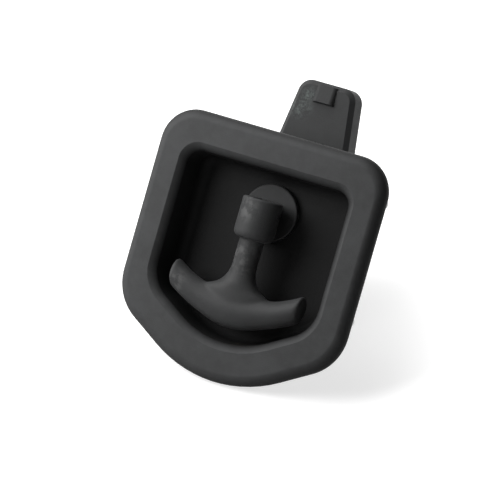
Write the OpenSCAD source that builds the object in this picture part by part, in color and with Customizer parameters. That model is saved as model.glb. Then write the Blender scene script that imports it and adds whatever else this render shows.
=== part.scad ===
// Recessed toolbox latch with a folding T-handle, a quarter-turn cam and a key lock.
// The front faces -Y, the spindle runs along Y and the cam points up at rest.
// The origin is on the spindle axis, in the plane of the flange's back face.

/* [Flange] */
// Width of the flange
flange_w = 135; // [128:1:150]
// Height of the flange's top edge above the spindle axis
flange_top = 44; // [42:1:52]
// Drop of the flange's lowest point below the spindle axis
flange_toe = 96; // [93:1:106]
// Thickness of the flange
flange_t = 8; // [7.5:0.5:10]
// Radius rolled along the front edge of the flange
flange_edge_r = 6; // [3:0.5:7]
// Corner radius at the top of the flange
flange_corner_r = 20; // [14:1:26]
// Corner radius where the sides turn in
flange_knee_r = 28; // [20:1:32]
// Radius of the blunt point at the bottom
flange_toe_r = 72; // [50:1:80]
// Slope of the two lower edges
toe_slope = 31; // [26:1:34]

/* [Recess] */
// Face width beside the recess, up to the start of the rim radius
rim_side = 14; // [12:0.5:16]
// Face width above the recess
rim_top = 16; // [13:0.5:18]
// Face width below the recess
rim_toe = 17; // [14:0.5:19]
// Radius rolled round the mouth of the recess
rim_r = 5; // [3:0.5:6]
// Depth of the recess from the front face to the floor
recess_depth = 24.5; // [23.5:0.5:28]
// Corner radius at the top of the recess
recess_corner_r = 8.5; // [8.5:0.5:12]
// Corner radius where the recess sides turn in
recess_knee_r = 20; // [12:1:22]
// Radius of the recess at its lowest point
recess_toe_r = 50; // [30:1:60]
// Draft of the recess wall
recess_draft = 5; // [1:0.5:6]
// Fillet between the recess wall and the floor
floor_fillet_r = 5.5; // [3:0.5:6]
// Wall thickness of the pan
pan_wall = 3.5; // [2.5:0.25:4.5]
// Thickness of the pan's floor
floor_t = 4; // [3:0.25:5]

/* [Neck] */
// Outer radius of the neck behind the pan
neck_r = 16; // [15:0.5:18]
// Distance from the flange's back face to the end of the neck
neck_end = 42.5; // [40:0.5:46]
// Thickness of the ribs that stay the neck
neck_rib_t = 3; // [2:0.25:4]
// Reach of the ribs from the spindle axis
neck_rib_reach = 32; // [28:1:33]

/* [Spindle] */
// Radius of the face plate
plate_r = 16; // [14:0.5:18]
// Thickness of the face plate
plate_t = 3.5; // [2.5:0.25:4]
// Radius of the spindle shaft
shaft_r = 8; // [7:0.25:8.5]
// Side of the square that drives the lock disc and the cam
square_side = 11; // [9:0.25:11]
// Radius of the threaded end
thread_r = 5; // [4:0.25:5]
// Thickness of the tongue that carries the handle
tongue_t = 7.6; // [6:0.2:9]
// Radius of the tongue's rounded end
tongue_r = 6.2; // [5:0.2:6.4]

/* [Handle] */
// Distance of the hinge pin behind the front face of the flange
pin_depth = 6; // [5.5:0.25:6.5]
// Radius of the hinge pin
pin_r = 2.5; // [2:0.25:3]
// Radius of the knuckle
knuckle_r = 11.2; // [10.4:0.1:11.4]
// Height of the knuckle's flat end above the hinge pin
knuckle_top = 6.5; // [5.6:0.1:6.8]
// Drop of the knuckle's lower end below the hinge pin
knuckle_drop = 16; // [13:0.5:18]
// Radius round the lower end of the knuckle
knuckle_round = 3.5; // [2:0.25:4]
// Radius of the stem
stem_r = 6.7; // [6:0.1:7.5]
// Drop of the cross bar's centre line below the hinge pin
bar_drop = 55.5; // [53:0.5:57]
// Radius of the cross bar's section
bar_r = 9.2; // [8:0.1:9.6]
// Radius of the curve that the cross bar follows
bar_curve = 75; // [65:1:90]
// Half length of the cross bar
bar_half = 38.5; // [36:0.5:39]
// Radius of the hollow between the stem and the cross bar
crotch_r = 11; // [8:0.5:13]

/* [Cam] */
// Reach of the cam's tip from the spindle axis
cam_reach = 77; // [68:0.5:84]
// Half width of the cam at its tip
cam_tip_half = 16.4; // [13:0.2:20]
// Corner radius at the cam's tip
cam_corner_r = 8; // [5:0.5:10]
// Radius of the cam's hub
cam_hub_r = 27; // [22:0.5:30]
// Thickness of the cam
cam_t = 15; // [12:0.5:18]
// Chamfer along the cam's front edge
cam_chamfer = 2.6; // [1:0.2:3]
// Width of the raised pad
pad_w = 12; // [8:0.5:16]
// Length of the raised pad
pad_len = 7.5; // [5:0.5:10]
// Height of the raised pad
pad_h = 3; // [2:0.25:3.25]
// Wall left round the hollow back of the cam
cam_wall = 3.5; // [2.5:0.25:5]

/* [Lock] */
// Drop of the lock axis below the spindle axis
lock_drop = 56; // [54:0.5:57]
// Radius of the lock's head
lock_head_r = 9.5; // [9.25:0.25:10]
// Radius of the lock's body
lock_body_r = 8.5; // [8:0.25:9]
// Half width across the flats of the lock's body
lock_flat = 7.5; // [7:0.1:7.6]
// Radius of the lock plug
plug_r = 6; // [5.25:0.25:6.25]
// Across flats of the lock nut
lock_nut_af = 22; // [20:0.5:24]
// Thickness of the lock disc
lock_disc_t = 3; // [2.5:0.25:3.5]
// Thickness of the blocking arm
arm_t = 2; // [1.5:0.1:2.4]
// Half width of the blocking arm's tip
arm_tip_half = 4; // [3:0.25:4.5]
// Number of wafers in the plug
wafer_count = 5; // [3:1:6]

/* [Fixing] */
// Distance of the mounting studs from the side edges of the flange
stud_inset = 8; // [7.5:0.25:9]
// Height of the upper studs above the spindle axis
stud_upper = 22; // [10:1:26]
// Drop of the lower studs below the spindle axis
stud_lower = 44; // [30:1:48]
// Radius of the mounting studs
stud_r = 3; // [2.5:0.25:3.5]
// Length of the studs behind the flange
stud_len = 18; // [12:1:25]
// Thickness of the flange gasket
gasket_t = 2; // [1:0.25:3]

/* [Clearances] */
// Radial clearance of a turning fit
run_gap = 0.06; // [0.02:0.01:0.1]
// Clearance of parts that are fixed together
seat_gap = 0.05; // [0.02:0.01:0.1]
// Free gap between moving faces
free_gap = 0.4; // [0.3:0.05:0.5]

/* [Hidden] */
$fn = 64;

moulded = [0.10, 0.10, 0.11];
zinc = [0.72, 0.72, 0.70];
rubber = [0.05, 0.05, 0.05];

// Heights are measured towards the viewer from the flange's back face.
face_z = flange_t;
floor_z = face_z - recess_depth;
floor_back_z = floor_z - floor_t;
pin_z = face_z - pin_depth;
plate_back_z = floor_z + free_gap;
plate_face_z = plate_back_z + plate_t;
thrust_t = 1.2;
shoulder_z = -neck_end - run_gap - thrust_t;
disc_back_z = shoulder_z - lock_disc_t;
cam_front_z = disc_back_z;
cam_back_z = cam_front_z - cam_t;
washer_t = 2;
spring_t = 2.4;
nut_t = 8;
nut_af = 17;
thread_spare = 2.5;
washer_r = thread_r * 2.1;
spring_r = thread_r * 1.7;
spring_split = 1.2;
thread_end_z = cam_back_z - washer_t - spring_t - nut_t - thread_spare;

bushing_wall = 2.9;
bushing_r = shaft_r + bushing_wall;
bushing_front_z = floor_z - floor_t;
seal_r = 1.35;

// Pan section, measured from the recess outline.
rim_z = face_z - rim_r;
function wall_in(z) = -(rim_z - z) * tan(recess_draft);
wall_foot = wall_in(floor_z);
fillet_x = wall_in(floor_z + floor_fillet_r) - floor_fillet_r / cos(recess_draft);
fillet_z = floor_z + floor_fillet_r;
pan_chamfer = 2;
band = 1;
arc_steps = 6;
corner_steps = 14;

neck_rib_turn = 45;
cam_rib_turn = 35;

// Lock disc and the lugs that stop it after a quarter turn.
lock_hub_r = 12.5;
tooth_r = neck_r + 0.5;
tooth_span = 25;
tooth_lead = asin(arm_tip_half / lock_hub_r) + 3 - 90;
lug_in = lock_hub_r + 0.7;
lug_span = 18;
lug_gap = 1.5;
quarter = 90;

// Lock, measured from the lock axis.
head_t = 1.6;
boss_r = 13;
boss_t = 4;
lock_nut_t = 5;
arm_front_z = shoulder_z - (lock_disc_t - arm_t) / 2;
arm_back_z = arm_front_z - arm_t;
arm_hub_r = 8;
arm_reach = sqrt(pow(lock_drop - lock_hub_r - free_gap, 2) - pow(arm_tip_half, 2));
lock_end_z = arm_front_z + 1;
tail_half = 3;
plug_face_z = floor_z + head_t - 0.4;
keyway_w = 1.6;
keyway_h = 7;
keyway_depth = 20;
wafer_t = 0.9;
wafer_half = 2.4;
wafer_reach = 5;
wafer_step = 2.6;
wafer_first = 5;
screw_r = 2;
screw_depth = 8;
arm_washer_t = 1;
arm_washer_r = tail_half * 1.9;
screw_head_r = 3.6;
screw_head_t = 2.6;

// Handle, measured from the hinge pin.
slot_r = tongue_r + free_gap;
slot_half = tongue_t / 2 + free_gap;
top_round = 1;
pin_proud = 0.6;
pin_chamfer = 0.5;
bend_r = stem_r - 0.2;
bend_out = stem_r + crotch_r;
function bar_y(x) = bar_curve - bar_drop - sqrt(pow(bar_curve, 2) - pow(x, 2));
bend_y = bar_y(bend_out) + bar_r + crotch_r;
bar_turn = asin((bar_half + 1) / (bar_curve - bar_r));
end_round = 3;

stud_x = flange_w / 2 - stud_inset;
stud_head_r = 4.5;
stud_head_t = 4.5;
// Room in the gasket round each stud, for a sleeve or a thick washer.
stud_room = 1.4;
gasket_inset = 1.5;

// Outlines are lists of [x, y, corner radius], counter-clockwise as the viewer sees them.
function toe_point(drop, r) = -(drop + r * (1 / cos(toe_slope) - 1));
function pan_outline(half, top, drop, corner_r, knee_r, toe_r) =
    let (toe_y = toe_point(drop, toe_r), knee_y = toe_y + half * tan(toe_slope))
    [[half, top, corner_r], [-half, top, corner_r], [-half, knee_y, knee_r],
     [0, toe_y, toe_r], [half, knee_y, knee_r]];

flange_outline = pan_outline(flange_w / 2, flange_top, flange_toe,
    flange_corner_r, flange_knee_r, flange_toe_r);
recess_outline = pan_outline(flange_w / 2 - rim_side - rim_r, flange_top - rim_top - rim_r,
    flange_toe - rim_toe - rim_r, recess_corner_r, recess_knee_r, recess_toe_r);

// The cam's sides are tangents from the hub to the tip.
cam_lean = asin(cam_hub_r / norm([cam_tip_half, cam_reach])) - atan2(cam_tip_half, cam_reach);
cam_low_half = cam_hub_r * (1 + sin(cam_lean)) / cos(cam_lean);
cam_outline = [[cam_tip_half, cam_reach, cam_corner_r], [-cam_tip_half, cam_reach, cam_corner_r],
    [-cam_low_half, -cam_hub_r, cam_hub_r], [cam_low_half, -cam_hub_r, cam_hub_r]];

function unit(v) = v / norm(v);
function point(o, i) = let (c = o[(i + len(o)) % len(o)]) [c[0], c[1]];
function run(o, i) = unit(point(o, i + 1) - point(o, i));
function outward(d) = [d[1], -d[0]];
function angle_of(v) = atan2(v[1], v[0]);
function bend(o, i) = acos(min(1, max(-1, run(o, i - 1) * run(o, i))));
function radius(o, i) = o[(i + len(o)) % len(o)][2];
function trim(o, i) = radius(o, i) * tan(bend(o, i) / 2);
function arc_start(o, i) = point(o, i) - run(o, i - 1) * trim(o, i);
function arc_end(o, i) = point(o, i) + run(o, i) * trim(o, i);
function arc_centre(o, i) = arc_start(o, i) - outward(run(o, i - 1)) * radius(o, i);
function straight(o, i) = norm(arc_start(o, i + 1) - arc_end(o, i));

// Points along an arc of a section.
function arc(centre, r, from, to) =
    [for (k = [0 : arc_steps]) let (a = from + (to - from) * k / arc_steps) centre + r * [cos(a), sin(a)]];

// Stands the latch up: the viewer's direction becomes -Y.
module upright() {
    rotate([90, 0, 0]) children();
}

// Points of an outline grown by out. A corner that follows on another one shares its first point.
function grown(o, out) = [for (i = [0 : len(o) - 1], k = [straight(o, i - 1) < 0.01 ? 1 : 0 : corner_steps])
    let (a = angle_of(outward(run(o, i - 1))) + bend(o, i) * k / corner_steps)
    arc_centre(o, i) + (radius(o, i) + out) * [cos(a), sin(a)]];

// The same outline at the heights and offsets of a section's points, as a list of closed loops.
function loops(o, section) = [for (s = section) [for (p = grown(o, s[0])) [p[0], p[1], s[1]]]];

// A plate between two heights that fills an outline, grown by out on every side.
module plate(o, low, high, out = 0) {
    translate([0, 0, low]) linear_extrude(high - low) polygon(grown(o, out));
}

// A closed skin over loops of equal length, with flat ends.
module skin(l) {
    n = len(l[0]);
    last = len(l) - 1;
    polyhedron(points = [for (loop = l, p = loop) p],
        faces = concat([[for (k = [0 : n - 1]) k]], [[for (k = [n - 1 : -1 : 0]) last * n + k]],
            [for (j = [0 : last - 1], k = [0 : n - 1])
                [j * n + k, (j + 1) * n + k, (j + 1) * n + (k + 1) % n, j * n + (k + 1) % n]]));
}

module ring(outer, inner, low, high) {
    translate([0, 0, low]) difference() {
        cylinder(r = outer, h = high - low);
        translate([0, 0, -1]) cylinder(r = inner, h = high - low + 2);
    }
}

module rod(r, low, high) {
    translate([0, 0, low]) cylinder(r = r, h = high - low);
}

module block(x, y, z) {
    translate([x[0], y[0], z[0]]) cube([x[1] - x[0], y[1] - y[0], z[1] - z[0]]);
}

module hexagon(af, low, high) {
    translate([0, 0, low]) cylinder(d = af / cos(30), h = high - low, $fn = 6);
}

module at_lock() {
    translate([0, -lock_drop, 0]) children();
}

// Sections of the pan's back, the flange's rolled edge, and the rim, drafted wall and floor fillet.
pan_back = [[wall_foot + pan_wall - pan_chamfer, floor_back_z],
    [wall_foot + pan_wall, floor_back_z + pan_chamfer], [pan_wall, 0]];
flange_edge = concat([[0, 0]], arc([-flange_edge_r, face_z - flange_edge_r], flange_edge_r, 0, 90));
pan_front = concat(arc([rim_r, rim_z], rim_r, 90, 180),
    arc([fillet_x, fillet_z], floor_fillet_r, -recess_draft, -90));

module pan() {
    skin(concat(loops(recess_outline, pan_back), loops(flange_outline, flange_edge),
        loops(recess_outline, pan_front)));
}

module neck_ribs() {
    for (a = [neck_rib_turn : 90 : neck_rib_turn + 270])
        rotate(a) rotate([90, 0, 0]) linear_extrude(neck_rib_t, center = true)
            polygon([[neck_r - 2, floor_back_z + 1], [neck_rib_reach, floor_back_z + 1],
                [neck_rib_reach, floor_back_z - 2], [neck_r - 2, -neck_end + 4]]);
}

module sector(inner, outer, from, span, low, high) {
    rotate(from) rotate_extrude(angle = span) translate([inner, low]) square([outer - inner, high - low]);
}

module stop_lugs() {
    for (from = [tooth_lead + tooth_span + lug_gap, tooth_lead - quarter - lug_gap - lug_span])
        sector(lug_in, neck_r, from, lug_span, disc_back_z + free_gap, -neck_end + 1);
}

module at_studs() {
    for (x = [-stud_x, stud_x], y = [stud_upper, -stud_lower])
        translate([x, y, 0]) children();
}

module flatted(r, flat, low, high) {
    intersection() {
        rod(r, low, high);
        block([-flat, flat], [-2 * r, 2 * r], [low, high]);
    }
}

// Moulded pan with its flange, neck, ribs and lock boss.
module housing() {
    color(moulded) upright() difference() {
        union() {
            pan();
            rod(neck_r, -neck_end, floor_back_z + 1);
            neck_ribs();
            stop_lugs();
            at_lock() rod(boss_r, floor_back_z - boss_t, floor_back_z + 1);
        }
        rod(bushing_r + seat_gap, -neck_end - 1, floor_z + 1);
        at_lock() flatted(lock_body_r + seat_gap, lock_flat + seat_gap, floor_back_z - boss_t - 1, floor_z + 1);
        at_studs() rod(stud_head_r + seat_gap, -1, stud_head_t);
    }
}

// Flat seal between the flange and the panel.
module flange_gasket() {
    color(rubber) upright() difference() {
        plate(flange_outline, -gasket_t, 0, -gasket_inset);
        plate(recess_outline, -gasket_t - 1, 1, pan_wall + band);
        at_studs() rod(stud_r + stud_room, -gasket_t - 1, 1);
    }
}

// Studs with round heads moulded into the flange.
module mounting_studs() {
    color(zinc) upright() at_studs() {
        rod(stud_r, -stud_len, 0.5);
        rod(stud_head_r, 0, stud_head_t);
    }
}

module spindle_bushing() {
    color("ivory") upright() ring(bushing_r, shaft_r + run_gap, -neck_end, bushing_front_z);
}

// Ring seal on the shaft, in front of the bushing.
module spindle_seal() {
    color(rubber) upright() translate([0, 0, bushing_front_z + seal_r + seat_gap])
        rotate_extrude() translate([shaft_r + seal_r + run_gap, 0]) circle(r = seal_r);
}

// Spindle: tongue, face plate, shaft, driving square and threaded end.
module spindle() {
    color(moulded) upright() difference() {
        union() {
            rod(plate_r, plate_back_z, plate_face_z);
            rod(shaft_r, shoulder_z, plate_back_z + 1);
            block([-square_side / 2, square_side / 2], [-square_side / 2, square_side / 2],
                [cam_back_z, shoulder_z + 1]);
            rod(thread_r, thread_end_z, cam_back_z + 1);
            block([-tongue_t / 2, tongue_t / 2], [-tongue_r, tongue_r], [plate_face_z - 1, pin_z]);
            translate([0, 0, pin_z]) rotate([0, 90, 0]) cylinder(r = tongue_r, h = tongue_t, center = true);
        }
        translate([0, 0, pin_z]) rotate([0, 90, 0])
            cylinder(r = pin_r + run_gap, h = tongue_t + 2, center = true);
    }
}

module thrust_washer() {
    color("ivory") upright() ring(lock_hub_r, shaft_r + run_gap, shoulder_z, shoulder_z + thrust_t);
}

module drive_hole(low, high) {
    half = square_side / 2 + seat_gap;
    block([-half, half], [-half, half], [low, high]);
}

// Disc with the tooth that the lugs stop and the lock blocks.
module lock_disc() {
    color(zinc) upright() difference() {
        union() {
            rod(lock_hub_r, disc_back_z, shoulder_z);
            sector(lock_hub_r - 1, tooth_r, tooth_lead, tooth_span, disc_back_z, shoulder_z);
        }
        drive_hole(disc_back_z - 1, shoulder_z + 1);
    }
}

module cam_hollow() {
    difference() {
        plate(cam_outline, cam_back_z - 1, cam_front_z - cam_chamfer - cam_wall, -cam_wall - cam_chamfer);
        rod(neck_r, cam_back_z - 2, cam_front_z);
        block([-cam_wall / 2, cam_wall / 2], [0, cam_reach], [cam_back_z - 2, cam_front_z]);
        for (a = [-cam_rib_turn, cam_rib_turn])
            rotate(a) block([-cam_hub_r, cam_hub_r], [-cam_wall / 2, cam_wall / 2], [cam_back_z - 2, cam_front_z]);
    }
}

// Tapered cam with a chamfered front edge, a raised pad and a ribbed back.
module cam() {
    pad_end = cam_reach - cam_chamfer;
    color(moulded) upright() difference() {
        union() {
            skin(loops(cam_outline, [[0, cam_back_z], [0, cam_front_z - cam_chamfer], [-cam_chamfer, cam_front_z]]));
            block([-pad_w / 2, pad_w / 2], [pad_end - pad_len, pad_end], [cam_front_z - 1, cam_front_z + pad_h]);
        }
        drive_hole(cam_back_z - 1, cam_front_z + 1);
        cam_hollow();
    }
}

module cam_washer() {
    color(zinc) upright() ring(washer_r, thread_r + seat_gap, cam_back_z - washer_t, cam_back_z);
}

// Split spring washer under the nut.
module spring_washer() {
    color(zinc) upright() difference() {
        ring(spring_r, thread_r + seat_gap, cam_back_z - washer_t - spring_t, cam_back_z - washer_t);
        block([0, spring_split], [0, spring_r + 1], [cam_back_z - washer_t - spring_t - 1, cam_back_z - washer_t + 1]);
    }
}

module cam_nut() {
    top = cam_back_z - washer_t - spring_t;
    color(zinc) upright() difference() {
        hexagon(nut_af, top - nut_t, top);
        rod(thread_r + seat_gap, top - nut_t - 1, top + 1);
    }
}

module knuckle_section() {
    translate([0, -knuckle_drop]) square([knuckle_r - knuckle_round, knuckle_drop + knuckle_top - top_round]);
    translate([0, -knuckle_drop + knuckle_round])
        square([knuckle_r, knuckle_drop + knuckle_top - knuckle_round - top_round]);
    translate([knuckle_r - knuckle_round, -knuckle_drop + knuckle_round]) circle(r = knuckle_round);
    translate([0, -knuckle_drop + knuckle_round])
        square([knuckle_r - top_round, knuckle_drop + knuckle_top - knuckle_round]);
    translate([knuckle_r - top_round, knuckle_top - top_round]) circle(r = top_round);
}

// Curved cross bar with rounded ends.
module cross_bar() {
    intersection() {
        translate([0, bar_curve - bar_drop, 0]) rotate(-90 - bar_turn)
            rotate_extrude(angle = 2 * bar_turn) translate([bar_curve, 0]) circle(r = bar_r);
        translate([0, bar_y(bar_half - end_round), 0]) rotate([0, 90, 0]) rotate_extrude()
            polygon([[0, -bar_half], [bar_r - end_round, -bar_half], [bar_r, -bar_half + end_round / 3],
                [bar_r * 1.2, -bar_half + end_round], [bar_r * 4, 0], [bar_r * 1.2, bar_half - end_round],
                [bar_r, bar_half - end_round / 3], [bar_r - end_round, bar_half], [0, bar_half]]);
    }
}

// Stem and the two bends that run from it into the cross bar.
module stem() {
    translate([0, -knuckle_drop + knuckle_round, 0]) rotate([90, 0, 0])
        cylinder(r = stem_r, h = bar_drop - knuckle_drop + knuckle_round);
    translate([bend_out, bend_y, 0]) rotate(180)
        rotate_extrude(angle = 90) translate([bend_out, 0]) circle(r = bend_r);
    translate([-bend_out, bend_y, 0]) rotate(-90)
        rotate_extrude(angle = 90) translate([bend_out, 0]) circle(r = bend_r);
}

// T-handle, slotted at the back and at its flat end for the spindle's tongue.
module handle() {
    color(moulded) upright() translate([0, 0, pin_z]) difference() {
        union() {
            rotate([-90, 0, 0]) rotate_extrude() knuckle_section();
            stem();
            cross_bar();
        }
        rotate([0, 90, 0]) cylinder(r = slot_r, h = 2 * slot_half, center = true);
        block([-slot_half, slot_half], [-slot_r, knuckle_top + 1], [-knuckle_r - 1, 0]);
        block([-slot_half, slot_half], [0, knuckle_top + 1], [-knuckle_r - 1, slot_r]);
        rotate([0, 90, 0]) cylinder(r = pin_r + seat_gap, h = 4 * knuckle_r, center = true);
    }
}

module hinge_pin() {
    end = knuckle_r + pin_proud;
    color(zinc) upright() translate([0, 0, pin_z]) rotate([0, 90, 0]) rotate_extrude()
        polygon([[0, -end], [pin_r - pin_chamfer, -end], [pin_r, -end + pin_chamfer],
            [pin_r, end - pin_chamfer], [pin_r - pin_chamfer, end], [0, end]]);
}

module lock_body() {
    color(zinc) upright() at_lock() difference() {
        union() {
            rod(lock_head_r, floor_z, floor_z + head_t);
            flatted(lock_body_r, lock_flat, lock_end_z, floor_z + 0.5);
        }
        rod(plug_r + run_gap, lock_end_z - 1, floor_z + head_t + 1);
    }
}

module lock_nut() {
    top = floor_back_z - boss_t;
    color(zinc) upright() at_lock() difference() {
        hexagon(lock_nut_af, top - lock_nut_t, top);
        rod(lock_body_r + seat_gap, top - lock_nut_t - 1, top + 1);
    }
}

module at_wafers() {
    for (i = [0 : wafer_count - 1])
        translate([0, 0, plug_face_z - wafer_first - i * wafer_step]) children();
}

// Plug with its keyway, wafer slots and square tail.
module lock_plug() {
    color("goldenrod") upright() at_lock() difference() {
        union() {
            rod(plug_r, arm_front_z, plug_face_z);
            block([-tail_half, tail_half], [-tail_half, tail_half], [arm_back_z, arm_front_z + 1]);
        }
        block([-keyway_w / 2, keyway_w / 2], [-keyway_h / 2, keyway_h / 2],
            [plug_face_z - keyway_depth, plug_face_z + 1]);
        at_wafers() block([-wafer_half - seat_gap, wafer_half + seat_gap], [-plug_r, plug_r],
            [-seat_gap, wafer_t + seat_gap]);
        rod(screw_r + seat_gap, arm_back_z - 1, arm_back_z + screw_depth);
    }
}

module lock_wafers() {
    color("gold") upright() at_lock() at_wafers() difference() {
        block([-wafer_half, wafer_half], [-wafer_reach, wafer_reach], [0, wafer_t]);
        block([-keyway_w / 2, keyway_w / 2], [-keyway_h / 2, keyway_h / 2], [-1, wafer_t + 1]);
    }
}

// Blocking arm, pointing sideways when the lock is open.
module lock_cam() {
    half = tail_half + seat_gap;
    color(zinc) upright() at_lock() difference() {
        union() {
            rod(arm_hub_r, arm_back_z, arm_front_z);
            translate([0, 0, arm_back_z]) linear_extrude(arm_t)
                polygon([[0, -arm_hub_r + 1], [0, arm_hub_r - 1],
                    [-arm_reach, arm_tip_half], [-arm_reach, -arm_tip_half]]);
        }
        block([-half, half], [-half, half], [arm_back_z - 1, arm_front_z + 1]);
    }
}

module lock_cam_washer() {
    color(zinc) upright() at_lock() ring(arm_washer_r, screw_r + seat_gap, arm_back_z - arm_washer_t, arm_back_z);
}

module lock_cam_screw() {
    low = arm_back_z - arm_washer_t;
    color(zinc) upright() at_lock() {
        rod(screw_r, low - 0.5, arm_back_z + screw_depth - 1);
        hexagon(2 * screw_head_r, low - screw_head_t, low);
    }
}

housing();
flange_gasket();
mounting_studs();
spindle_bushing();
spindle_seal();
spindle();
thrust_washer();
lock_disc();
cam();
cam_washer();
spring_washer();
cam_nut();
handle();
hinge_pin();
lock_body();
lock_nut();
lock_plug();
lock_wafers();
lock_cam();
lock_cam_washer();
lock_cam_screw();
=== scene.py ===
"""Recessed toolbox latch with a folding T-handle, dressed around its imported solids."""

import logging
import math
from contextlib import contextmanager
from dataclasses import dataclass, field
from enum import Enum
from typing import Callable, Iterator, Optional, Sequence, Union

import bmesh
import bpy
from mathutils import Matrix, Vector


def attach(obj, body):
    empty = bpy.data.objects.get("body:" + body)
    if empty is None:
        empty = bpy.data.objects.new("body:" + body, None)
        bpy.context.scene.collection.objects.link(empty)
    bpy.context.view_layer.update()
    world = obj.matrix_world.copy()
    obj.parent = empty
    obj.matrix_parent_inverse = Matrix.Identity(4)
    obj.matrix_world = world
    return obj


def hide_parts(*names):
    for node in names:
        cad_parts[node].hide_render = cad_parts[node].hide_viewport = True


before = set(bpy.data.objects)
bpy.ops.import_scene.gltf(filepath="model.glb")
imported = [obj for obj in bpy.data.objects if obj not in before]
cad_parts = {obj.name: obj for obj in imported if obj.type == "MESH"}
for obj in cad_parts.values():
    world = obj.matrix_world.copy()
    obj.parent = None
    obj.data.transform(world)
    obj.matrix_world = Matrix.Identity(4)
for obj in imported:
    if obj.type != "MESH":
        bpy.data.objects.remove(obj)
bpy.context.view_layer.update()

log = logging.getLogger("latch")
MM = 0.001
Corner = tuple[float, float, float]
Number = Union[int, float]


class Join(Enum):
    """How one solid is joined with another."""

    ADD = "UNION"
    CUT = "DIFFERENCE"
    KEEP = "INTERSECT"


class Part(Enum):
    """What a selection is made of."""

    POINTS = "VERT"
    EDGES = "EDGE"
    FACES = "FACE"


class Axis(Enum):
    """Direction that a rod runs along, as the turn that brings Z there."""

    X = (0.0, math.pi / 2, 0.0)
    Y = (math.pi / 2, 0.0, 0.0)
    Z = (0.0, 0.0, 0.0)


def clear_selection() -> None:
    """Leave edit mode and deselect every object."""
    if bpy.context.mode != "OBJECT":
        bpy.ops.object.mode_set(mode="OBJECT")
    bpy.ops.object.select_all(action="DESELECT")


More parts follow.
